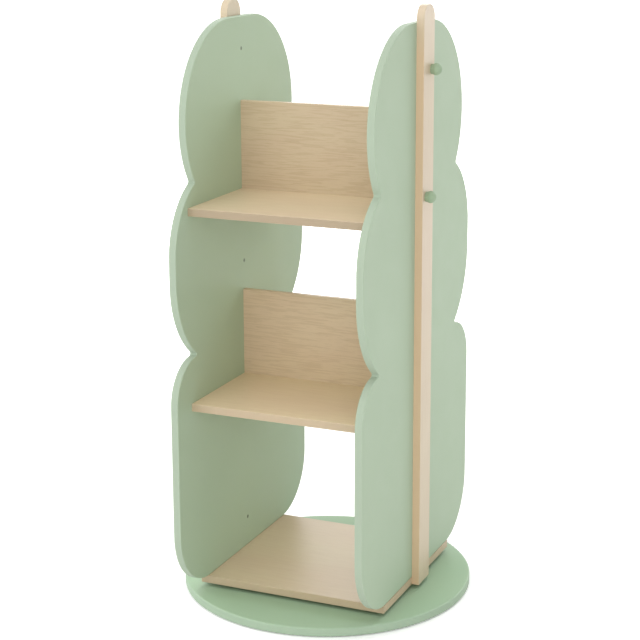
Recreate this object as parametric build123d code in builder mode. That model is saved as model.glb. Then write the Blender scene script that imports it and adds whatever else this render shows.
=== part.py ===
from build123d import *
import os

# Revolving bookcase: two lobed side panels carry two shelves, two upright dividers and a
# bottom board. The board turns on a ring bearing that is screwed to a round floor disc.
# The origin is on the floor at the middle of the disc and +Z is the axis that it turns on.
# The panels stand at -X and +X, the tiers are open to -Y and +Y. Sizes are in millimetres.

# Floor disc and its pads
disc_diameter = 580
disc_thickness = 18
disc_edge_radius = 3
pad_diameter = 30
pad_thickness = 2
pad_circle_radius = 255
pad_count = 6
access_hole_diameter = 18

# Ring bearing: the inner ring hangs under the board, the outer ring lies on the disc
bearing_height = 8
bearing_outer_radius = 150
bearing_inner_radius = 120
ball_diameter = 4
ball_count = 24
ball_running_clearance = 0.05
ring_lift = 0.8
ring_gap = 1.8
ring_edge_chamfer = 0.5
cage_wall = 0.8
cage_edge_clearance = 0.4
cage_pocket_clearance = 0.1
ring_screw_count = 4

# Boards
inner_width = 360
panel_thickness = 15
panel_edge_radius = 2
board_depth = 364
board_thickness = 15
shelf_depth = 472
shelf_thickness = 15
board_edge_radius = 1
lower_clear_height = 359
middle_clear_height = 366
divider_thickness = 12
divider_height = 175

# Lobes of the side panels, from the bottom up, each sunk a little into the one below
lower_lobe_width = 586.5
lower_lobe_height = 463.5
lower_lobe_foot_radius = 121
lower_lobe_shoulder_radius = 84
middle_lobe_width = 575.5
middle_lobe_height = 380
middle_lobe_foot_radius = 183
middle_lobe_shoulder_radius = 152
middle_lobe_overlap = 29
upper_lobe_width = 476
upper_lobe_height = 374
upper_lobe_overlap = 94.5
notch_radius = 4

# Slats on the outside of the panels, and the pegs in them
slat_width = 57.5
slat_thickness = 15
slat_rise = 32.5
slat_corner_radius = 26
slat_edge_radius = 1
peg_neck_diameter = 19
peg_head_diameter = 23.5
peg_length = 20
peg_head_length = 11.5
peg_flare_radius = 24
peg_rim_radius = 3
peg_foot_radius = 0.8
peg_tenon_diameter = 8
peg_tenon_length = 12
upper_peg_drop = 89
peg_spacing = 239
upper_peg_offset = 14
lower_peg_offset = -10

# Screws
ring_screw_shank = 3.5
ring_screw_head = 7
ring_screw_length = 15
slat_screw_shank = 4
slat_screw_head = 8
slat_screw_length = 25
slat_screw_foot_height = 61
slat_screw_divider_gap = 58
slat_screw_top_drop = 63
panel_screw_shank = 5
panel_screw_head = 10
panel_screw_length = 50
panel_screw_pitch = 130
divider_screw_shank = 4
divider_screw_head = 8
divider_screw_length = 45
divider_screw_pitch = 130
screw_point_length = 3
recess_width = 1.2
recess_depth = 1.5
recess_share_of_head = 0.6

# Cam fittings and dowels in the ends of the shelves and dividers
cam_diameter = 15
cam_cover = 3
cam_setback = 24
cam_clearance = 0.2
cam_driver_slot_width = 2
cam_driver_slot_depth = 2
cam_bolt_shank = 5
cam_bolt_neck = 4
cam_bolt_neck_length = 6
cam_bolt_head = 7
cam_bolt_head_length = 3
cam_bolt_bite = 10
cam_pitch = 300
dowel_diameter = 8
dowel_length = 30
dowel_in_panel = 10
dowel_end_clearance = 1
dowel_chamfer = 1
dowel_pitch = 380
divider_dowel_diameter = 6
divider_dowel_length = 24
divider_dowel_margin = 40

# Heights and places that follow from the sizes above
disc_top = pad_thickness + disc_thickness
board_bottom = disc_top + bearing_height
board_top = board_bottom + board_thickness
middle_shelf_bottom = board_top + lower_clear_height
middle_shelf_top = middle_shelf_bottom + shelf_thickness
upper_shelf_bottom = middle_shelf_top + middle_clear_height
upper_shelf_top = upper_shelf_bottom + shelf_thickness

lower_lobe_top = board_top + lower_lobe_height
middle_lobe_bottom = lower_lobe_top - middle_lobe_overlap
upper_lobe_bottom = middle_lobe_bottom + middle_lobe_height - upper_lobe_overlap
panel_top = upper_lobe_bottom + upper_lobe_height
slat_top = panel_top + slat_rise

panel_inner_face = inner_width / 2
panel_outer_face = panel_inner_face + panel_thickness
panel_middle = panel_inner_face + panel_thickness / 2
slat_outer_face = panel_outer_face + slat_thickness

race_radius = (bearing_outer_radius + bearing_inner_radius) / 2
race_height = disc_top + bearing_height / 2
groove_radius = ball_diameter / 2 + ball_running_clearance
outer_ring_bore_radius = race_radius + ring_gap / 2
inner_ring_rim_radius = race_radius - ring_gap / 2
outer_ring_top = board_bottom - ring_lift
inner_ring_bottom = disc_top + ring_lift
outer_ring_screw_radius = (outer_ring_bore_radius + bearing_outer_radius) / 2
inner_ring_screw_radius = (inner_ring_rim_radius + bearing_inner_radius) / 2

cam_depth = shelf_thickness - cam_cover
first_screw_angle = 45
LEFT, RIGHT = -1, 1
SIDES = {"left": LEFT, "right": RIGHT}
SHELVES = {"middle": middle_shelf_bottom, "upper": upper_shelf_bottom}

os.makedirs("parts", exist_ok=True)


def write(name, piece):
    """Labels a finished piece and writes its STEP file."""
    piece.part.label = name
    export_step(piece.part, f"parts/{name}.step")


# Fasteners, each made once with its own +Z along its axis, and placed where it goes


def screw_section(shank, head, length):
    """Half the section of a countersunk screw with its flat head at the origin."""
    with BuildSketch(Plane.XZ) as section:
        with BuildLine():
            Polyline(
                (0, 0),
                (head / 2, 0),
                (shank / 2, (head - shank) / 2),
                (shank / 2, length - screw_point_length),
                (0, length),
                close=True,
            )
        make_face()
    return section.sketch


def screw(shank, head, length):
    """A countersunk wood screw with a cross recess."""
    with BuildPart() as piece:
        revolve(screw_section(shank, head, length), axis=Axis.Z)
        with BuildSketch():
            Rectangle(head * recess_share_of_head, recess_width)
            Rectangle(recess_width, head * recess_share_of_head)
        extrude(amount=recess_depth, mode=Mode.SUBTRACT)
    return piece.part


def screw_space(shank, head, length):
    """What a screw fills in the wood: the same body without its recess."""
    with BuildPart() as space:
        revolve(screw_section(shank, head, length), axis=Axis.Z)
    return space.part


def dowel(diameter, length):
    """A dowel with chamfered ends, its middle at the origin."""
    with BuildPart() as piece:
        Cylinder(diameter / 2, length)
        chamfer(piece.edges().filter_by(GeomType.CIRCLE), dowel_chamfer)
    return piece.part


def dowel_space(diameter, length):
    """The drilling for a dowel, a little longer than the dowel at both ends."""
    with BuildPart() as space:
        Cylinder(diameter / 2, length + 2 * dowel_end_clearance)
    return space.part


def cam_bolt():
    """A bolt that screws into the panel below its origin; its head stands in the cam."""
    head_start = cam_setback - cam_bolt_head_length / 2
    with BuildPart() as piece:
        with BuildSketch(Plane.XZ):
            with BuildLine():
                Polyline(
                    (0, -cam_bolt_bite),
                    (cam_bolt_shank / 2, -cam_bolt_bite),
                    (cam_bolt_shank / 2, head_start - cam_bolt_neck_length),
                    (cam_bolt_neck / 2, head_start - cam_bolt_neck_length),
                    (cam_bolt_neck / 2, head_start),
                    (cam_bolt_head / 2, head_start),
                    (cam_bolt_head / 2, head_start + cam_bolt_head_length),
                    (0, head_start + cam_bolt_head_length),
                    close=True,
                )
            make_face()
        revolve(axis=Axis.Z)
    return piece.part


def cam_bolt_space():
    """The drilling in the shelf's end that the bolt's head passes through."""
    with BuildPart() as space:
        with BuildSketch():
            Circle(cam_bolt_head / 2 + cam_clearance)
        extrude(amount=cam_setback)
    return space.part


def cam():
    """A cam in the shelf's underside, hollow round the bolt's head, with a driver slot."""
    bolt_axis = Plane((0, 0, shelf_thickness / 2), x_dir=(0, 1, 0), z_dir=(1, 0, 0))
    head_room = cam_bolt_head_length / 2 + cam_clearance
    with BuildPart() as piece:
        with BuildSketch():
            Circle(cam_diameter / 2 - cam_clearance)
        extrude(amount=cam_depth)
        with BuildSketch(bolt_axis):
            Circle(cam_bolt_head / 2 + cam_clearance)
        extrude(amount=head_room, both=True, mode=Mode.SUBTRACT)
        with BuildSketch(bolt_axis):
            Circle(cam_bolt_neck / 2 + cam_clearance)
        extrude(amount=cam_diameter, mode=Mode.SUBTRACT)
        with BuildSketch():
            Rectangle(cam_driver_slot_width, cam_diameter)
        extrude(amount=cam_driver_slot_depth, mode=Mode.SUBTRACT)
    return piece.part


def cam_space():
    """The blind drilling for a cam."""
    with BuildPart() as space:
        with BuildSketch():
            Circle(cam_diameter / 2)
        extrude(amount=cam_depth)
    return space.part


def peg():
    """A turned peg: a tenon below its origin, and above it a flared neck and a domed head."""
    neck_start = (peg_neck_diameter / 2, 0)
    rim = (peg_head_diameter / 2, peg_length - peg_head_length)
    dome_radius = (peg_head_length**2 + (peg_head_diameter / 2) ** 2) / (2 * peg_head_length)
    with BuildPart() as piece:
        with BuildSketch(Plane.XZ) as section:
            with BuildLine():
                RadiusArc(neck_start, rim, peg_flare_radius)
                RadiusArc(rim, (0, peg_length), -dome_radius)
                Polyline(
                    (0, peg_length),
                    (0, -peg_tenon_length),
                    (peg_tenon_diameter / 2, -peg_tenon_length),
                    (peg_tenon_diameter / 2, 0),
                    neck_start,
                )
            make_face()
            fillet(section.vertices().sort_by(Axis.X)[-1], peg_rim_radius)
            foot = section.vertices().filter_by_position(Axis.Y, 0, 0).sort_by(Axis.X)[-1]
            fillet(foot, peg_foot_radius)
        revolve(axis=Axis.Z)
    return piece.part


def peg_space():
    """The hole for a peg's tenon, below the origin."""
    with BuildPart() as space:
        with BuildSketch():
            Circle(peg_tenon_diameter / 2)
        extrude(amount=-peg_tenon_length)
    return space.part


# Where the fasteners go. side is -1 for the left panel and 1 for the right one.


def outward(side):
    """Turns a fastener's +Z away from the middle of the bookcase."""
    return (0, side * 90, 0)


def inward(side):
    """Turns a fastener's +Z towards the middle of the bookcase."""
    return (0, -side * 90, 0)


def slat_screw_places(side):
    heights = (
        board_top + slat_screw_foot_height,
        middle_shelf_top + divider_height + slat_screw_divider_gap,
        panel_top - slat_screw_top_drop,
    )
    return [Location((side * panel_inner_face, 0, height), outward(side)) for height in heights]


def panel_screw_places(side):
    rows = (-panel_screw_pitch, 0, panel_screw_pitch)
    return [Location((side * panel_middle, row, board_bottom)) for row in rows]


def divider_screw_places(shelf_bottom):
    columns = (-divider_screw_pitch, 0, divider_screw_pitch)
    return [Location((column, 0, shelf_bottom)) for column in columns]


def cam_bolt_places(side, shelf_bottom):
    height = shelf_bottom + shelf_thickness / 2
    rows = (-cam_pitch / 2, cam_pitch / 2)
    return [Location((side * panel_inner_face, row, height), inward(side)) for row in rows]


def cam_places(side, shelf_bottom):
    turn = 0 if side == RIGHT else 180
    column = side * (panel_inner_face - cam_setback)
    rows = (-cam_pitch / 2, cam_pitch / 2)
    return [Location((column, row, shelf_bottom), (0, 0, turn)) for row in rows]


def dowel_places(side, shelf_bottom):
    column = side * (panel_inner_face + dowel_in_panel - dowel_length / 2)
    height = shelf_bottom + shelf_thickness / 2
    rows = (-dowel_pitch / 2, dowel_pitch / 2)
    return [Location((column, row, height), outward(side)) for row in rows]


def divider_dowel_places(side, shelf_bottom):
    column = side * (panel_inner_face + dowel_in_panel - divider_dowel_length / 2)
    bottom = shelf_bottom + shelf_thickness
    heights = (bottom + divider_dowel_margin, bottom + divider_height - divider_dowel_margin)
    return [Location((column, 0, height), outward(side)) for height in heights]


def peg_places(side):
    height = panel_top - upper_peg_drop
    upper = Location((side * slat_outer_face, upper_peg_offset, height), outward(side))
    lower = Location((side * slat_outer_face, lower_peg_offset, height - peg_spacing), outward(side))
    return {"upper": upper, "lower": lower}


def cut(space, places):
    """Takes a fastener's space from the piece that is being made, at each place."""
    with Locations(*places):
        add(space, mode=Mode.SUBTRACT)


def write_set(name, piece, places):
    """Writes one node that holds the same piece at several places."""
    with BuildPart() as group:
        with Locations(*places):
            add(piece)
    write(name, group)


ring_screw_space = screw_space(ring_screw_shank, ring_screw_head, ring_screw_length)
slat_screw_space = screw_space(slat_screw_shank, slat_screw_head, slat_screw_length)
panel_screw_space = screw_space(panel_screw_shank, panel_screw_head, panel_screw_length)
divider_screw_space = screw_space(divider_screw_shank, divider_screw_head, divider_screw_length)
shelf_dowel_space = dowel_space(dowel_diameter, dowel_length)
divider_dowel_space = dowel_space(divider_dowel_diameter, divider_dowel_length)
bolt = cam_bolt()
bolt_space = cam_bolt_space()
cam_pocket = cam_space()
tenon_space = peg_space()

# The inner ring's screws point up from under it, the outer ring's point down from its top
inner_screw_places = [
    place * Location((0, 0, inner_ring_bottom))
    for place in PolarLocations(inner_ring_screw_radius, ring_screw_count, first_screw_angle)
]
outer_screw_places = [
    place * Location((0, 0, outer_ring_top), (180, 0, 0))
    for place in PolarLocations(outer_ring_screw_radius, ring_screw_count, first_screw_angle)
]

# Floor disc

with BuildPart() as base_pads:
    with BuildSketch():
        with PolarLocations(pad_circle_radius, pad_count):
            Circle(pad_diameter / 2)
    extrude(amount=pad_thickness)
write("base_pads", base_pads)

with BuildPart() as base_disc:
    with BuildSketch(Plane.XY.offset(pad_thickness)):
        Circle(disc_diameter / 2)
    extrude(amount=disc_thickness)
    fillet(base_disc.edges(), disc_edge_radius)
    with BuildSketch(Plane.XY.offset(disc_top)):
        with Locations((inner_ring_screw_radius, 0)):
            Circle(access_hole_diameter / 2)
    extrude(amount=-disc_thickness, mode=Mode.SUBTRACT)
    cut(ring_screw_space, outer_screw_places)
write("base_disc", base_disc)

# Ring bearing. Both rings have half of the ball race, and the cage keeps the balls apart.


def ring_section(inner, outer, bottom, top):
    """Half the section of a bearing ring: a chamfered bar with its side of the ball race."""
    with BuildSketch(Plane.XZ) as section:
        with Locations(((inner + outer) / 2, (bottom + top) / 2)):
            Rectangle(outer - inner, top - bottom)
        chamfer(section.vertices(), ring_edge_chamfer)
        with Locations((race_radius, race_height)):
            Circle(groove_radius, mode=Mode.SUBTRACT)
    return section.sketch


outer_section = ring_section(outer_ring_bore_radius, bearing_outer_radius, disc_top, outer_ring_top)
inner_section = ring_section(bearing_inner_radius, inner_ring_rim_radius, inner_ring_bottom, board_bottom)

with BuildPart() as bearing_outer_ring:
    revolve(outer_section, axis=Axis.Z)
    cut(ring_screw_space, outer_screw_places)
write("bearing_outer_ring", bearing_outer_ring)

with BuildPart() as bearing_inner_ring:
    revolve(inner_section, axis=Axis.Z)
    cut(ring_screw_space, inner_screw_places)
write("bearing_inner_ring", bearing_inner_ring)

with BuildPart() as ball_cage:
    with BuildSketch(Plane.XY.offset(inner_ring_bottom + cage_edge_clearance)):
        Circle(race_radius + cage_wall / 2)
        Circle(race_radius - cage_wall / 2, mode=Mode.SUBTRACT)
    extrude(amount=outer_ring_top - inner_ring_bottom - 2 * cage_edge_clearance)
    with Locations((0, 0, race_height)):
        with PolarLocations(race_radius, ball_count):
            Cylinder(
                ball_diameter / 2 + cage_pocket_clearance,
                2 * ring_gap,
                rotation=(0, 90, 0),
                mode=Mode.SUBTRACT,
            )
write("ball_cage", ball_cage)

with BuildPart() as bearing_balls:
    with Locations((0, 0, race_height)):
        with PolarLocations(race_radius, ball_count):
            Sphere(ball_diameter / 2)
write("bearing_balls", bearing_balls)

ring_screw = screw(ring_screw_shank, ring_screw_head, ring_screw_length)
write_set("outer_ring_screws", ring_screw, outer_screw_places)
write_set("inner_ring_screws", ring_screw, inner_screw_places)

# Bottom board

with BuildPart() as bottom_board:
    with BuildSketch(Plane.XY.offset(board_bottom)):
        Rectangle(2 * panel_outer_face, board_depth)
    extrude(amount=board_thickness)
    fillet(bottom_board.edges().filter_by(Axis.X), board_edge_radius)
    cut(ring_screw_space, inner_screw_places)
    cut(panel_screw_space, panel_screw_places(LEFT) + panel_screw_places(RIGHT))
write("bottom_board", bottom_board)


# Side panels


def lobe(width, bottom, height, foot_radius, shoulder_radius):
    """One lobe of a panel's outline: a rectangle with large round corners."""
    with BuildSketch() as outline:
        with Locations((0, bottom + height / 2)):
            Rectangle(width, height)
        fillet(outline.vertices().group_by(Axis.Y)[0], foot_radius)
        fillet(outline.vertices().group_by(Axis.Y)[-1], shoulder_radius)
    return outline.sketch


lower_lobe = lobe(
    lower_lobe_width, board_top, lower_lobe_height, lower_lobe_foot_radius, lower_lobe_shoulder_radius
)
middle_lobe = lobe(
    middle_lobe_width,
    middle_lobe_bottom,
    middle_lobe_height,
    middle_lobe_foot_radius,
    middle_lobe_shoulder_radius,
)


def side_panel(side):
    """A panel with its lobes, rounded all round, and the drillings for what joins it."""
    with BuildPart() as panel:
        with BuildSketch(Plane.YZ.offset(side * panel_inner_face)):
            add(lower_lobe)
            add(middle_lobe)
            with Locations((0, upper_lobe_bottom + upper_lobe_height / 2)):
                SlotOverall(upper_lobe_width, upper_lobe_height)
            # Out and back in again rounds the notches between the lobes
            offset(amount=notch_radius, kind=Kind.ARC, mode=Mode.REPLACE)
            offset(amount=-notch_radius, kind=Kind.ARC, mode=Mode.REPLACE)
        extrude(amount=side * panel_thickness)
        fillet(panel.faces().filter_by(Axis.X).edges(), panel_edge_radius)
        cut(slat_screw_space, slat_screw_places(side))
        cut(panel_screw_space, panel_screw_places(side))
        for shelf_bottom in SHELVES.values():
            cut(bolt, cam_bolt_places(side, shelf_bottom))
            cut(shelf_dowel_space, dowel_places(side, shelf_bottom))
            cut(divider_dowel_space, divider_dowel_places(side, shelf_bottom))
    return panel


for name, side in SIDES.items():
    write(f"{name}_panel", side_panel(side))

panel_screw = screw(panel_screw_shank, panel_screw_head, panel_screw_length)
for name, side in SIDES.items():
    write_set(f"{name}_panel_screws", panel_screw, panel_screw_places(side))


# Shelves and dividers


def shelf(shelf_bottom):
    """A shelf with its front and back edges eased, drilled for its fittings."""
    with BuildPart() as board:
        with BuildSketch(Plane.XY.offset(shelf_bottom)):
            Rectangle(inner_width, shelf_depth)
        extrude(amount=shelf_thickness)
        fillet(board.edges().filter_by(Axis.X), board_edge_radius)
        cut(divider_screw_space, divider_screw_places(shelf_bottom))
        for side in SIDES.values():
            cut(bolt_space, cam_bolt_places(side, shelf_bottom))
            cut(cam_pocket, cam_places(side, shelf_bottom))
            cut(shelf_dowel_space, dowel_places(side, shelf_bottom))
    return board


def divider(shelf_bottom):
    """The upright board that stands across the middle of a shelf."""
    with BuildPart() as board:
        with BuildSketch(Plane.XY.offset(shelf_bottom + shelf_thickness)):
            Rectangle(inner_width, divider_thickness)
        extrude(amount=divider_height)
        fillet(board.edges().filter_by(Axis.X).group_by(Axis.Z)[-1], board_edge_radius)
        cut(divider_screw_space, divider_screw_places(shelf_bottom))
        for side in SIDES.values():
            cut(divider_dowel_space, divider_dowel_places(side, shelf_bottom))
    return board


shelf_cam = cam()
shelf_dowel = dowel(dowel_diameter, dowel_length)
divider_screw = screw(divider_screw_shank, divider_screw_head, divider_screw_length)
divider_dowel = dowel(divider_dowel_diameter, divider_dowel_length)


def both_sides(places, shelf_bottom):
    return places(LEFT, shelf_bottom) + places(RIGHT, shelf_bottom)


for name, shelf_bottom in SHELVES.items():
    write(f"{name}_shelf", shelf(shelf_bottom))
    write(f"{name}_divider", divider(shelf_bottom))
    write_set(f"{name}_shelf_cams", shelf_cam, both_sides(cam_places, shelf_bottom))
    write_set(f"{name}_shelf_cam_bolts", bolt, both_sides(cam_bolt_places, shelf_bottom))
    write_set(f"{name}_shelf_dowels", shelf_dowel, both_sides(dowel_places, shelf_bottom))
    write_set(f"{name}_divider_screws", divider_screw, divider_screw_places(shelf_bottom))
    write_set(f"{name}_divider_dowels", divider_dowel, both_sides(divider_dowel_places, shelf_bottom))


# Slats and pegs


def slat(side):
    """A slat up the outside of a panel, from under the board to above the panel's top."""
    slat_length = slat_top - board_bottom
    with BuildPart() as strip:
        with BuildSketch(Plane.YZ.offset(side * panel_outer_face)) as outline:
            with Locations((0, board_bottom + slat_length / 2)):
                Rectangle(slat_width, slat_length)
            fillet(outline.vertices().group_by(Axis.Y)[-1], slat_corner_radius)
        extrude(amount=side * slat_thickness)
        outer_face = strip.faces().sort_by(Axis.X)[-1 if side == RIGHT else 0]
        fillet(outer_face.edges(), slat_edge_radius)
        cut(slat_screw_space, slat_screw_places(side))
        cut(tenon_space, peg_places(side).values())
    return strip


turned_peg = peg()
slat_screw = screw(slat_screw_shank, slat_screw_head, slat_screw_length)

for name, side in SIDES.items():
    write(f"{name}_slat", slat(side))
    write_set(f"{name}_slat_screws", slat_screw, slat_screw_places(side))
    for height_name, place in peg_places(side).items():
        write_set(f"{name}_{height_name}_peg", turned_peg, [place])
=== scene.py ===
import math

import bpy
from mathutils import Euler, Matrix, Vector

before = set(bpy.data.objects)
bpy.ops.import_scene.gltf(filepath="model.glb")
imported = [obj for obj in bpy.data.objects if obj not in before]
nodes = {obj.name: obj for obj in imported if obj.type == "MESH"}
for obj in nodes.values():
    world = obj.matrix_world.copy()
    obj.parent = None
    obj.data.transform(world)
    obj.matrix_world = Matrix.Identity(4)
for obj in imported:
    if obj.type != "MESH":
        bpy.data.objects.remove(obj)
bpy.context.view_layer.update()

# Revolving bookcase: painted fibreboard side panels and floor disc, pale veneered shelves,
# solid wood slats with painted pegs, and an aluminium ring bearing under the bottom board.
# Lengths are in metres. +Z is up, the open front looks towards -Y, the right slat towards +X.

# Camera, at the photograph's height and angle, with a little of its lens shift
CAMERA_PLACE = (1.2898, -2.9908, 1.4023)
CAMERA_TURN = (76.964, 0.223, 23.503)
CAMERA_LENS = 95.61
CAMERA_SENSOR = 36
CAMERA_SHIFT_UP = -0.08

# Colours, as they look on the real thing in plain light, except those whose comments say that they carry
# painted light or shade
SAGE_PAINT = (0.444, 0.550, 0.402)
# Painted shade: the panels' rims are darker than their faces, partly the duller paint on fibreboard edges
# and partly shade painted onto them because they are lit more strongly
SAGE_RIM_PAINT_AND_SHADE = (0.403, 0.486, 0.373)
# Painted shade: the disc and its rim have darker, greener copies of the panels' paint, though the real
# disc has the same paint
SAGE_DISC_PAINTED_SHADE = (0.375, 0.520, 0.357)
SAGE_DISC_RIM_PAINTED_SHADE = (0.401, 0.521, 0.383)
# Painted shade: the pegs have a darker copy of the panels' paint
SAGE_PEG_PAINTED_SHADE = (0.333, 0.442, 0.292)
VENEER_PALE = (0.677, 0.550, 0.376)
VENEER_DARK = (0.491, 0.360, 0.217)
VENEER_BLUSH = (0.665, 0.511, 0.358)
VENEER_SIDE = (0.465, 0.365, 0.244)
SLAT_PALE = (0.649, 0.545, 0.390)
SLAT_DARK = (0.573, 0.447, 0.299)
SLAT_BLUSH = (0.629, 0.507, 0.370)
SLAT_SIDE = (0.730, 0.513, 0.330)
BEECH_PALE = (0.600, 0.420, 0.240)
BEECH_DARK = (0.440, 0.280, 0.140)
BEECH_BLUSH = (0.580, 0.380, 0.230)
SCREW_STEEL = (0.52, 0.52, 0.54)
SCREW_SAGE = (0.235, 0.285, 0.210)
CAM_ZINC = (0.42, 0.42, 0.43)
RING_ALUMINIUM = (0.62, 0.63, 0.65)
BALL_STEEL = (0.70, 0.70, 0.72)
NYLON = (0.78, 0.77, 0.72)
FOAM_RUBBER = (0.035, 0.035, 0.037)
WHITE = (1.0, 1.0, 1.0)

# The direction of a plate's thickness, for wear and a painted highlight along its edges
AXES = {"X": (1.0, 0.0, 0.0), "Y": (0.0, 1.0, 0.0), "Z": (0.0, 0.0, 1.0)}

# For a place that is only moved
NO_STRETCH = (1.0, 1.0, 1.0)

# The middle range of a noise, where most of its values lie
NOISE_RANGE = (0.3, 0.7)

# A layer of wood grain: cycles per metre along and across the grain, the noise's detail and
# roughness, and the range of its values that is spread over 0 to 1
GRAIN_LAYERS = {
    "bands": ((1.6, 105.0, 105.0), 3.0, 0.60, (0.36, 0.66)),
    "streaks": ((20.0, 350.0, 350.0), 0.0, 0.50, (0.50, 0.60)),
    "flecks": ((18.0, 430.0, 430.0), 2.0, 0.55, (0.54, 0.66)),
    "pores": ((60.0, 900.0, 900.0), 2.0, 0.60, (0.58, 0.70)),
}
BLUSH_LAYER = ((2.5, 6.0, 6.0), 3.0, 0.50, (0.40, 0.64))

# The slow waves in the grain: cycles per metre, detail, and how far they push it along each axis
WAVE_STRETCH = (2.2, 9.0, 9.0)
WAVE_DETAIL = 2.0
WAVE_PUSH = (0.0, 0.016, 0.016)

# Lacquer on the wood
LACQUER_ROUGHNESS = (0.36, 0.48)
LACQUER_SPECULAR = 0.3
STREAK_DEPTH = 0.4
BOARD_RELIEF = 0.00012
# Painted highlight: how far the wood's rounded edges turn to its pale colour, as if rubbed
WOOD_RUBBING_HIGHLIGHT = 0.35
SIDE_SHARE = 0.8

# Paint: each noise's scale per metre, detail and roughness, the specks' part in its tone, its sheen
CLOUDS = (6.0, 5.0, 0.55)
SPECKS = (650.0, 2.0, 0.5)
SPECK_SHARE = 0.6
SHEEN_SPOTS = (24.0, 4.0, 0.6)
ORANGE_PEEL = (380.0, 2.0, 0.45)
RIM_FIBRES = (1500.0, 3.0, 0.7)
PAINT_ROUGHNESS = (0.46, 0.58)
RIM_ROUGHENING = 0.08
WEAR_SMOOTHING = 0.10
PAINT_SPECULAR = 0.15
PAINT_RELIEF = 0.00005
# Painted highlight: how far the paint's rounded edges are lightened, as if rubbed thin
PAINT_RUBBING_HIGHLIGHT = 0.5
PAINT_CLOUDINESS = 0.06

# Where paint is rubbed thin along rounded edges, with a painted highlight there, its colour is scaled by
# the first and lifted by the second
RUBBED_HIGHLIGHT_SCALE = (0.90, 0.93, 0.90)
RUBBED_HIGHLIGHT_LIFT = (0.10, 0.09, 0.09)

# Rubbing and the painted edge highlight come in patches, whose noise in this range gives from a third to
# all of them
PATCHES = (28.0, 5.0, 0.65)
PATCH_RANGE = (0.35, 0.65)
PATCH_WEAR_HIGHLIGHT = (0.35, 1.0)

# Metal, nylon and rubber: the detail and roughness of the fine marks' noise, how far they change the
# tone, and their depth in metal
MARK_DETAIL = 5.0
MARK_ROUGHNESS = 0.65
MARK_TONES = (0.84, 1.06)
METAL_RELIEF = 0.00003


# Node helpers


def add_node(tree, kind, **settings):
    """A new shader node of this kind with its settings made."""
    node = tree.nodes.new(kind)
    for name, value in settings.items():
        setattr(node, name, value)
    return node


def feed(tree, node, socket, source):
    """Joins a source socket to a named input, or sets the input to a plain value."""
    if isinstance(source, bpy.types.NodeSocket):
        tree.links.new(source, node.inputs[socket])
    elif isinstance(source, tuple) and len(source) == 3 and node.inputs[socket].type == "RGBA":
        node.inputs[socket].default_value = (*source, 1.0)
    else:
        node.inputs[socket].default_value = source


def math_node(tree, operation, first, second=0.0, clamp=False):
    """Plain arithmetic on one or two values, held to 0 to 1 where clamp is set."""
    node = add_node(tree, "ShaderNodeMath", operation=operation, use_clamp=clamp)
    feed(tree, node, 0, first)
    feed(tree, node, 1, second)
    return node.outputs["Value"]


def noise(tree, vector, scale, detail, roughness):
    """A noise of about 0 to 1 at this place."""
    node = add_node(tree, "ShaderNodeTexNoise")
    feed(tree, node, "Vector", vector)
    feed(tree, node, "Scale", scale)
    feed(tree, node, "Detail", detail)
    feed(tree, node, "Roughness", roughness)
    return node.outputs["Fac"]


def stretched(tree, vector, scale, offset=(0.0, 0.0, 0.0)):
    """The same place, scaled by its own amount along each axis and then moved."""
    node = add_node(tree, "ShaderNodeMapping")
    feed(tree, node, "Vector", vector)
    feed(tree, node, "Scale", scale)
    feed(tree, node, "Location", offset)
    return node.outputs["Vector"]


def remap(tree, value, low, high, out_low=0.0, out_high=1.0):
    """The value from low to high, spread over out_low to out_high and held there."""
    node = add_node(tree, "ShaderNodeMapRange")
    feed(tree, node, "Value", value)
    feed(tree, node, "From Min", low)
    feed(tree, node, "From Max", high)
    feed(tree, node, "To Min", out_low)
    feed(tree, node, "To Max", out_high)
    return node.outputs["Result"]


def stretched_layer(tree, vector, stretch, detail, roughness, value_range):
    """A stretched noise, with this range of its values spread over 0 to 1."""
    value = noise(tree, stretched(tree, vector, stretch), 1.0, detail, roughness)
    return remap(tree, value, *value_range)


# Color sockets of the Mix node, which has others of the same names for numbers and vectors
MIX_FACTOR = 0
MIX_FIRST = 6
MIX_SECOND = 7
MIX_RESULT = 2


def blend_colors(tree, amount, first, second):
    """The first colour where the amount is 0, and the second where it is 1."""
    node = add_node(tree, "ShaderNodeMix", data_type="RGBA")
    feed(tree, node, MIX_FACTOR, amount)
    feed(tree, node, MIX_FIRST, first)
    feed(tree, node, MIX_SECOND, second)
    return node.outputs[MIX_RESULT]


def scale_color(tree, color, factor):
    """The colour, lighter or darker by a factor."""
    node = add_node(tree, "ShaderNodeVectorMath", operation="SCALE")
    tree.links.new(color, node.inputs[0])
    tree.links.new(factor, node.inputs["Scale"])
    return node.outputs["Vector"]


def multiply_add(tree, vector, factor, addend):
    """The vector times the factor plus the addend, each along its own axis."""
    node = add_node(tree, "ShaderNodeVectorMath", operation="MULTIPLY_ADD")
    feed(tree, node, 0, vector)
    feed(tree, node, 1, factor)
    feed(tree, node, 2, addend)
    return node.outputs["Vector"]


def height_of(tree, place):
    """The Z of a place."""
    split = add_node(tree, "ShaderNodeSeparateXYZ")
    tree.links.new(place, split.inputs[0])
    return split.outputs["Z"]


def new_group(name, inputs, outputs):
    """An empty shader node group with named sockets; returns it with its two ends' sockets."""
    group = bpy.data.node_groups.new(name, "ShaderNodeTree")
    for socket_name, (kind, value) in inputs.items():
        socket = group.interface.new_socket(socket_name, in_out="INPUT", socket_type=kind)
        if value is not None:
            socket.default_value = value
    for socket_name, kind in outputs.items():
        group.interface.new_socket(socket_name, in_out="OUTPUT", socket_type=kind)
    start = group.nodes.new("NodeGroupInput")
    end = group.nodes.new("NodeGroupOutput")
    return group, start.outputs, end.inputs


# Shared effects

SURFACE_OUTPUTS = {
    "Color": "NodeSocketColor",
    "Roughness": "NodeSocketFloat",
    "Height": "NodeSocketFloat",
}


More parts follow.
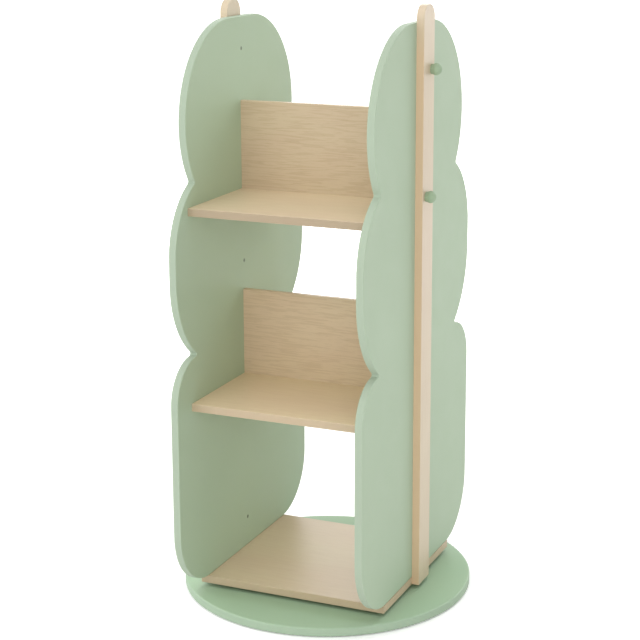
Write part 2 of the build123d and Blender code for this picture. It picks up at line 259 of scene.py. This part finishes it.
def make_grain_group():
    """Wood grain that runs along the vector's X: growth bands, streaks, pale flecks and pores."""
    group, given, result = new_group(
        "Wood Grain",
        {
            "Place": ("NodeSocketVector", None),
            "Pale": ("NodeSocketColor", (*VENEER_PALE, 1.0)),
            "Dark": ("NodeSocketColor", (*VENEER_DARK, 1.0)),
            "Blush": ("NodeSocketColor", (*VENEER_BLUSH, 1.0)),
            "Band Strength": ("NodeSocketFloat", 0.14),
            "Streak Strength": ("NodeSocketFloat", 0.50),
            "Pore Strength": ("NodeSocketFloat", 0.30),
            "Fleck Strength": ("NodeSocketFloat", 0.30),
        },
        SURFACE_OUTPUTS,
    )
    place = given["Place"]
    # Slow waves bend the bands, so that they open and close like a cut through a trunk
    waves = add_node(group, "ShaderNodeTexNoise")
    feed(group, waves, "Vector", stretched(group, place, WAVE_STRETCH))
    feed(group, waves, "Scale", 1.0)
    feed(group, waves, "Detail", WAVE_DETAIL)
    course = multiply_add(group, WAVE_PUSH, waves.outputs["Color"], place)
    layers = {name: stretched_layer(group, course, *values) for name, values in GRAIN_LAYERS.items()}
    blush = stretched_layer(group, place, *BLUSH_LAYER)
    banded = math_node(group, "MULTIPLY", layers["bands"], given["Band Strength"])
    streaked = math_node(group, "MULTIPLY", layers["streaks"], given["Streak Strength"])
    flecked = math_node(group, "MULTIPLY", layers["flecks"], given["Fleck Strength"])
    pored = math_node(group, "MULTIPLY", layers["pores"], given["Pore Strength"])
    tone = math_node(group, "SUBTRACT", math_node(group, "ADD", banded, streaked), flecked)
    tone = math_node(group, "ADD", tone, pored, clamp=True)
    ground = blend_colors(group, blush, given["Pale"], given["Blush"])
    group.links.new(blend_colors(group, tone, ground, given["Dark"]), result["Color"])
    group.links.new(remap(group, tone, 0.0, 1.0, *LACQUER_ROUGHNESS), result["Roughness"])
    grooves = math_node(group, "MULTIPLY", layers["streaks"], STREAK_DEPTH)
    depth = math_node(group, "MAXIMUM", layers["pores"], grooves)
    group.links.new(math_node(group, "SUBTRACT", 1.0, depth), result["Height"])
    return group


def make_paint_group():
    """Sprayed satin paint: a faint cloudiness in the colour, orange peel, and fibres on the rim."""
    group, given, result = new_group(
        "Sprayed Paint",
        {
            "Place": ("NodeSocketVector", None),
            "Paint": ("NodeSocketColor", (*SAGE_PAINT, 1.0)),
            "Rim Paint": ("NodeSocketColor", (*SAGE_RIM_PAINT_AND_SHADE, 1.0)),
            "Cloudiness": ("NodeSocketFloat", 0.05),
            "Rim": ("NodeSocketFloat", 0.0),
            "Wear": ("NodeSocketFloat", 0.0),
        },
        SURFACE_OUTPUTS,
    )
    place = given["Place"]
    # A noise less a half lightens as much as it darkens
    clouds = math_node(group, "SUBTRACT", noise(group, place, *CLOUDS), 0.5)
    specks = math_node(group, "SUBTRACT", noise(group, place, *SPECKS), 0.5)
    lift = math_node(group, "ADD", clouds, math_node(group, "MULTIPLY", specks, SPECK_SHARE))
    level = math_node(group, "ADD", math_node(group, "MULTIPLY", lift, given["Cloudiness"]), 1.0)
    # Painted shade: the rim colour is partly the duller paint on fibreboard edges and partly shade
    # painted in
    film = blend_colors(group, given["Rim"], given["Paint"], given["Rim Paint"])
    film = scale_color(group, film, level)
    # Painted highlight: the film is lightened along rounded edges, as if rubbed thin
    rubbed_highlight = multiply_add(group, film, RUBBED_HIGHLIGHT_SCALE, RUBBED_HIGHLIGHT_LIFT)
    group.links.new(blend_colors(group, given["Wear"], film, rubbed_highlight), result["Color"])
    sheen = noise(group, place, *SHEEN_SPOTS)
    roughness = remap(group, sheen, *NOISE_RANGE, *PAINT_ROUGHNESS)
    rougher = math_node(group, "MULTIPLY", given["Rim"], RIM_ROUGHENING)
    smoother = math_node(group, "MULTIPLY", given["Wear"], WEAR_SMOOTHING)
    roughness = math_node(group, "SUBTRACT", math_node(group, "ADD", roughness, rougher), smoother)
    group.links.new(roughness, result["Roughness"])
    peel = noise(group, place, *ORANGE_PEEL)
    fibres = math_node(group, "MULTIPLY", noise(group, place, *RIM_FIBRES), given["Rim"])
    group.links.new(math_node(group, "ADD", peel, fibres), result["Height"])
    return group


def make_edge_group():
    """How far a point is round the edge of a plate, and how much it is rubbed and lightened by a painted
    highlight there.
    """
    group, given, result = new_group(
        "Plate Edge",
        {
            "Place": ("NodeSocketVector", None),
            "Normal": ("NodeSocketVector", None),
            "Thickness Axis": ("NodeSocketVector", AXES["X"]),
            "Rubbing": ("NodeSocketFloat", 0.6),
        },
        {"Rim": "NodeSocketFloat", "Wear": "NodeSocketFloat"},
    )
    lean = add_node(group, "ShaderNodeVectorMath", operation="DOT_PRODUCT")
    group.links.new(given["Normal"], lean.inputs[0])
    group.links.new(given["Thickness Axis"], lean.inputs[1])
    # The square of the lean is 1 on the plate's faces and 0 round its rim
    square = math_node(group, "POWER", math_node(group, "ABSOLUTE", lean.outputs["Value"]), 2.0)
    rim = math_node(group, "SUBTRACT", 1.0, square, clamp=True)
    group.links.new(rim, result["Rim"])
    # Times four, their product is 1 where the edge is rounded at 45 degrees
    corner = math_node(group, "MULTIPLY", math_node(group, "MULTIPLY", square, rim), 4.0, clamp=True)
    patches = noise(group, given["Place"], *PATCHES)
    wear = remap(group, patches, *PATCH_RANGE, *PATCH_WEAR_HIGHLIGHT)
    wear = math_node(group, "MULTIPLY", corner, wear)
    group.links.new(math_node(group, "MULTIPLY", wear, given["Rubbing"]), result["Wear"])
    return group


def make_marks_group():
    """Metal, nylon or rubber: a slightly uneven tone, with fine marks in its surface."""
    group, given, result = new_group(
        "Surface Marks",
        {
            "Place": ("NodeSocketVector", None),
            "Plain Color": ("NodeSocketColor", (*SCREW_STEEL, 1.0)),
            "Mark Scale": ("NodeSocketFloat", 300.0),
            "Smooth": ("NodeSocketFloat", 0.28),
            "Rough": ("NodeSocketFloat", 0.42),
        },
        SURFACE_OUTPUTS,
    )
    marks = noise(group, given["Place"], given["Mark Scale"], MARK_DETAIL, MARK_ROUGHNESS)
    tone = remap(group, marks, *NOISE_RANGE, *MARK_TONES)
    group.links.new(scale_color(group, given["Plain Color"], tone), result["Color"])
    roughness = remap(group, marks, *NOISE_RANGE, given["Smooth"], given["Rough"])
    group.links.new(roughness, result["Roughness"])
    group.links.new(marks, result["Height"])
    return group


GRAIN = make_grain_group()
PAINT = make_paint_group()
EDGE = make_edge_group()
MARKS = make_marks_group()


# Materials


def new_material(name):
    """A material with its tree, its shader, and the coordinates of the piece."""
    material = bpy.data.materials.new(name)
    material.use_nodes = True
    tree = material.node_tree
    shader = tree.nodes["Principled BSDF"]
    coordinates = add_node(tree, "ShaderNodeTexCoord").outputs
    return material, tree, shader, coordinates


def place_group(tree, group, **values):
    """Puts a group into a tree and feeds its inputs; an underscore stands for a space."""
    node = add_node(tree, "ShaderNodeGroup", node_tree=group)
    for name, value in values.items():
        feed(tree, node, name.replace("_", " "), value)
    return node.outputs


def finish_surface(tree, shader, color, surface, relief):
    """Joins a colour, and a group's roughness and height in metres of relief, to the shader."""
    tree.links.new(color, shader.inputs["Base Color"])
    tree.links.new(surface["Roughness"], shader.inputs["Roughness"])
    bump = add_node(tree, "ShaderNodeBump")
    feed(tree, bump, "Height", surface["Height"])
    feed(tree, bump, "Distance", relief)
    tree.links.new(bump.outputs["Normal"], shader.inputs["Normal"])


def along(tree, place, axis):
    """The place with its axes swapped, so that wood grain runs along this axis of the piece."""
    split = add_node(tree, "ShaderNodeSeparateXYZ")
    tree.links.new(place, split.inputs[0])
    joined = add_node(tree, "ShaderNodeCombineXYZ")
    order = {"X": "XYZ", "Y": "YZX", "Z": "ZXY"}[axis]
    for target, source in zip("XYZ", order):
        tree.links.new(split.outputs[source], joined.inputs[target])
    return joined.outputs["Vector"]


def wood(
    name,
    grain_axis,
    colors,
    thickness_axis="Z",
    offset=(0.0, 0.0, 0.0),
    side=None,
    painted_light_tip=None,
    relief=BOARD_RELIEF,
    **strengths,
):
    """Lacquered wood with its grain along one axis, and a side colour on faces that look along Y.

    The side colour fades out, as painted light on the tip, between the two heights given for it, where
    they are given.
    """
    material, tree, shader, coordinates = new_material(name)
    place = coordinates["Object"]
    normal = coordinates["Normal"]
    shifted = stretched(tree, along(tree, place, grain_axis), NO_STRETCH, offset)
    pale, dark, blush = colors
    grain = place_group(tree, GRAIN, Place=shifted, Pale=pale, Dark=dark, Blush=blush, **strengths)
    color = grain["Color"]
    if side:
        across = place_group(tree, EDGE, Place=place, Normal=normal, Thickness_Axis=AXES["Y"])
        facing = math_node(tree, "SUBTRACT", 1.0, across["Rim"])
        facing = math_node(tree, "MULTIPLY", facing, SIDE_SHARE)
        if painted_light_tip:
            # Painted light: the side colour fades out towards the tip, where more light falls on it
            painted_light_fade = remap(tree, height_of(tree, place), *painted_light_tip, 1.0, 0.0)
            facing = math_node(tree, "MULTIPLY", facing, painted_light_fade)
        color = blend_colors(tree, facing, color, side)
    edge = place_group(
        tree,
        EDGE,
        Place=place,
        Normal=normal,
        Thickness_Axis=AXES[thickness_axis],
        Rubbing=WOOD_RUBBING_HIGHLIGHT,
    )
    # Painted highlight: the wood turns to its pale colour along rounded edges, as if rubbed
    color = blend_colors(tree, edge["Wear"], color, pale)
    finish_surface(tree, shader, color, grain, relief)
    shader.inputs["Specular IOR Level"].default_value = LACQUER_SPECULAR
    return material


def paint(name, color, rim_color_and_shade, thickness_axis, cloudiness=PAINT_CLOUDINESS):
    """Satin paint on fibreboard or turned wood, a little rubbed along its edges and lightened there by a
    painted highlight.
    """
    material, tree, shader, coordinates = new_material(name)
    place = coordinates["Object"]
    edge = place_group(
        tree,
        EDGE,
        Place=place,
        Normal=coordinates["Normal"],
        Thickness_Axis=AXES[thickness_axis],
        Rubbing=PAINT_RUBBING_HIGHLIGHT,
    )
    film = place_group(
        tree,
        PAINT,
        Place=place,
        Paint=color,
        Rim_Paint=rim_color_and_shade,
        Cloudiness=cloudiness,
        Rim=edge["Rim"],
        Wear=edge["Wear"],
    )
    finish_surface(tree, shader, film["Color"], film, PAINT_RELIEF)
    shader.inputs["Specular IOR Level"].default_value = PAINT_SPECULAR
    return material


def marked(name, color, smooth, rough, mark_scale, relief, metallic=0.0):
    """Metal, nylon or rubber: a mottled tone, and marks or a grainy skin in its surface."""
    material, tree, shader, coordinates = new_material(name)
    marks = place_group(
        tree,
        MARKS,
        Place=coordinates["Object"],
        Plain_Color=color,
        Mark_Scale=mark_scale,
        Smooth=smooth,
        Rough=rough,
    )
    finish_surface(tree, shader, marks["Color"], marks, relief)
    shader.inputs["Metallic"].default_value = metallic
    return material


def metal(name, color, smooth, rough, mark_scale):
    """Bare or plated metal with fine handling marks in its polish."""
    return marked(name, color, smooth, rough, mark_scale, METAL_RELIEF, metallic=1.0)


def dress(material, *names):
    """Gives nodes of the frame this material in place of their plain one."""
    for name in names:
        mesh = nodes[name].data
        mesh.materials.clear()
        mesh.materials.append(material)


def toned(color, tone):
    """The colour, lighter or darker by this factor."""
    return tuple(channel * tone for channel in color)


def steps(index, step):
    """The place in the wood that the piece of this number is cut from."""
    return tuple(index * length for length in step)


sage_panel = paint("sage panel paint", SAGE_PAINT, SAGE_RIM_PAINT_AND_SHADE, "X")
# Painted shade: the disc gets its own darker, greener copy of the panels' paint
sage_disc_shaded = paint("sage disc paint with painted shade", SAGE_DISC_PAINTED_SHADE, SAGE_DISC_RIM_PAINTED_SHADE, "Z")
# Painted shade: the pegs get a darker copy of the panels' paint
sage_peg_shaded = paint("sage peg paint with painted shade", SAGE_PEG_PAINTED_SHADE, SAGE_PEG_PAINTED_SHADE, "X", cloudiness=0.08)
dress(sage_panel, "left_panel", "right_panel")
dress(sage_disc_shaded, "base_disc")
dress(sage_peg_shaded, "left_upper_peg", "left_lower_peg", "right_upper_peg", "right_lower_peg")

# How strongly the grain shows. The dividers have a bolder figure than the shelves and the bottom
# board, which look almost plain from the front.
SHELF_FIGURE = {
    "relief": 0.00004,
    "Band_Strength": 0.05,
    "Streak_Strength": 0.09,
    "Pore_Strength": 0.12,
    "Fleck_Strength": 0.05,
}
DIVIDER_FIGURE = {
    "relief": BOARD_RELIEF,
    "Band_Strength": 0.08,
    "Streak_Strength": 0.27,
    "Pore_Strength": 0.30,
    "Fleck_Strength": 0.10,
}
SLAT_FIGURE = {
    "relief": 0.00005,
    "Band_Strength": 0.08,
    "Streak_Strength": 0.10,
    "Pore_Strength": 0.08,
    "Fleck_Strength": 0.04,
}

# Each board's thickness axis, the tones of its leaf of veneer and of its edge band, and its figure. The
# tones are painted light and shade: the same veneer is made lighter or darker on each board for how it is
# lit.
BOARDS = {
    "bottom_board": ("Z", 0.93, 1.10, SHELF_FIGURE),
    "middle_shelf": ("Z", 1.22, 1.00, SHELF_FIGURE),
    "upper_shelf": ("Z", 1.03, 0.75, SHELF_FIGURE),
    "middle_divider": ("Y", 1.05, None, DIVIDER_FIGURE),
    "upper_divider": ("Y", 0.91, None, DIVIDER_FIGURE),
}
BOARD_STEP = (0.37, 0.91, 0.53)
for index, (name, (thickness_axis, leaf_painted_light, band_painted_light, figure)) in enumerate(BOARDS.items()):
    # Painted light and shade: each board's veneer and edge band are scaled lighter or darker
    leaf = [toned(color, leaf_painted_light) for color in (VENEER_PALE, VENEER_DARK, VENEER_BLUSH)]
    band = toned(VENEER_SIDE, band_painted_light) if band_painted_light else None
    cut_from = steps(index, BOARD_STEP)
    dress(wood(f"veneer {name}", "X", leaf, thickness_axis, cut_from, band, **figure), name)

# Painted light: the slats' sides turn as pale as their faces over these heights, towards their tips,
# where they rise above the panels and are no longer shaded by them
SLAT_PAINTED_LIGHT_TIP = (1.075, 1.145)
SLAT_COLORS = (SLAT_PALE, SLAT_DARK, SLAT_BLUSH)
SLAT_STEP = (0.71, 0.33, 0.0)
for index, name in enumerate(("left_slat", "right_slat")):
    cut_from = steps(index, SLAT_STEP)
    slat_wood = wood(
        f"slat wood {name}",
        "Z",
        SLAT_COLORS,
        "X",
        cut_from,
        SLAT_SIDE,
        SLAT_PAINTED_LIGHT_TIP,
        **SLAT_FIGURE,
    )
    dress(slat_wood, name)

beech = wood("beech dowel", "X", (BEECH_PALE, BEECH_DARK, BEECH_BLUSH))
for tier in ("middle", "upper"):
    dress(beech, f"{tier}_shelf_dowels", f"{tier}_divider_dowels")

sage_screw = paint("sage screw head paint", SCREW_SAGE, SCREW_SAGE, "X", cloudiness=0.10)
screw_steel = metal("plated screw steel", SCREW_STEEL, smooth=0.28, rough=0.42, mark_scale=300.0)
cam_zinc = metal("nickelled cam zinc", CAM_ZINC, smooth=0.30, rough=0.48, mark_scale=260.0)
ring_aluminium = metal("ring aluminium", RING_ALUMINIUM, smooth=0.26, rough=0.40, mark_scale=180.0)
ball_steel = metal("ball steel", BALL_STEEL, smooth=0.06, rough=0.14, mark_scale=400.0)
nylon = marked("natural nylon", NYLON, smooth=0.39, rough=0.51, mark_scale=500.0, relief=0.00002)
foam_rubber = marked("foam rubber", FOAM_RUBBER, smooth=0.80, rough=0.92, mark_scale=900.0, relief=0.0001)
for name in nodes:
    if name.endswith("_slat_screws"):
        dress(sage_screw, name)
    elif name.endswith("_screws"):
        dress(screw_steel, name)
    elif name.endswith(("_cams", "_cam_bolts")):
        dress(cam_zinc, name)
dress(ring_aluminium, "bearing_inner_ring", "bearing_outer_ring")
dress(ball_steel, "bearing_balls")
dress(nylon, "ball_cage")
dress(foam_rubber, "base_pads")


# Floor, light and camera

# The floor is half as wide as this each way. Its glow, which only the view sees, grows from
# FLOOR_LIFT to full white between the two distances from the object's middle.
FLOOR_HALF = 30.0
FLOOR_SHADE = 0.90
FLOOR_ROUGHNESS = 0.9
FLOOR_LIFT = 0.25
FLOOR_FADE = (0.6, 3.5)

# How strongly the white all round lights the object
WORLD_LEVEL = 0.35

# The lamps stand on a sphere round this point, which they face
MIDDLE = (0.0, 0.0, 0.6)
LAMP_DISTANCE = 4.6
LAMP_SIZE = 3.4

# Each lamp's angle round the object from the front towards the right, height in degrees, and watts
LAMPS = {
    "front key": (4.0, 42.0, 40.0),
    "front left low": (-22.0, 10.0, 26.0),
    "front left high": (-22.0, 40.0, 20.0),
    "front right": (34.0, 5.0, 67.0),
    "top": (0.0, 80.0, 68.0),
    "left": (-90.0, 20.0, 96.0),
    "back left": (-140.0, 30.0, 29.0),
    "back left low": (-160.0, 15.0, 41.0),
    "back high": (180.0, 40.0, 43.0),
    "back right": (165.0, 22.0, 41.0),
    "back far right": (150.0, 20.0, 35.0),
}


def background_seen(tree):
    """1 where the camera sees this directly, mirrored or through glass, else 0."""
    path = add_node(tree, "ShaderNodeLightPath")
    seen = math_node(tree, "MAXIMUM", path.outputs["Is Camera Ray"], path.outputs["Is Glossy Ray"])
    return math_node(tree, "MAXIMUM", seen, path.outputs["Is Transmission Ray"])


def make_floor():
    """A plain pale floor that looks white to the camera and keeps the object's shadow."""
    mesh = bpy.data.meshes.new("floor")
    corners = [(x * FLOOR_HALF, y * FLOOR_HALF, 0.0) for x, y in ((-1, -1), (1, -1), (1, 1), (-1, 1))]
    mesh.from_pydata(corners, [], [(0, 1, 2, 3)])
    floor = bpy.data.objects.new("floor", mesh)
    bpy.context.scene.collection.objects.link(floor)
    material, tree, shader, coordinates = new_material("floor white")
    shader.inputs["Base Color"].default_value = (FLOOR_SHADE, FLOOR_SHADE, FLOOR_SHADE, 1.0)
    shader.inputs["Roughness"].default_value = FLOOR_ROUGHNESS
    shader.inputs["Specular IOR Level"].default_value = 0.0
    shader.inputs["Emission Color"].default_value = (*WHITE, 1.0)
    # Far from the lamps the floor fades into the white behind it, and near by it keeps its shadow
    distance = add_node(tree, "ShaderNodeVectorMath", operation="LENGTH")
    tree.links.new(coordinates["Object"], distance.inputs[0])
    lift = remap(tree, distance.outputs["Value"], *FLOOR_FADE, FLOOR_LIFT, 1.0)
    glow = math_node(tree, "MULTIPLY", lift, background_seen(tree))
    tree.links.new(glow, shader.inputs["Emission Strength"])
    # From below the floor is left out, so that the underside shows
    clear = add_node(tree, "ShaderNodeBsdfTransparent")
    from_below = add_node(tree, "ShaderNodeMixShader")
    geometry = add_node(tree, "ShaderNodeNewGeometry")
    tree.links.new(geometry.outputs["Backfacing"], from_below.inputs["Fac"])
    tree.links.new(shader.outputs["BSDF"], from_below.inputs[1])
    tree.links.new(clear.outputs["BSDF"], from_below.inputs[2])
    tree.links.new(from_below.outputs["Shader"], tree.nodes["Material Output"].inputs["Surface"])
    mesh.materials.append(material)


def make_world(strength):
    """White all round: full white where it is seen, and softer where it lights."""
    world = bpy.data.worlds.new("studio")
    bpy.context.scene.world = world
    world.use_nodes = True
    tree = world.node_tree
    background = tree.nodes["Background"]
    background.inputs["Color"].default_value = (*WHITE, 1.0)
    lit = remap(tree, background_seen(tree), 0.0, 1.0, strength, 1.0)
    tree.links.new(lit, background.inputs["Strength"])


def soft_lamp(name, around, up, watts):
    """A wide square lamp at these two angles, turned to the object's middle."""
    light = bpy.data.lights.new(name, "AREA")
    light.shape = "SQUARE"
    light.size = LAMP_SIZE
    light.energy = watts
    lamp = bpy.data.objects.new(name, light)
    turn = Euler((math.radians(-up), 0.0, math.radians(around)))
    outward = turn.to_matrix() @ Vector((0.0, -LAMP_DISTANCE, 0.0))
    lamp.location = Vector(MIDDLE) + outward
    lamp.rotation_euler = (-outward).to_track_quat("-Z", "Y").to_euler()
    bpy.context.scene.collection.objects.link(lamp)


def make_camera():
    """The camera that sees the object as the photograph does."""
    camera_data = bpy.data.cameras.new("camera")
    camera_data.sensor_width = CAMERA_SENSOR
    camera_data.lens = CAMERA_LENS
    camera_data.shift_y = CAMERA_SHIFT_UP
    camera = bpy.data.objects.new("camera", camera_data)
    camera.location = CAMERA_PLACE
    camera.rotation_euler = [math.radians(angle) for angle in CAMERA_TURN]
    bpy.context.scene.collection.objects.link(camera)
    bpy.context.scene.camera = camera


make_floor()
make_world(WORLD_LEVEL)
for name, (around, up, watts) in LAMPS.items():
    soft_lamp(name, around, up, watts)
make_camera()
bpy.context.scene.view_settings.view_transform = "Standard"
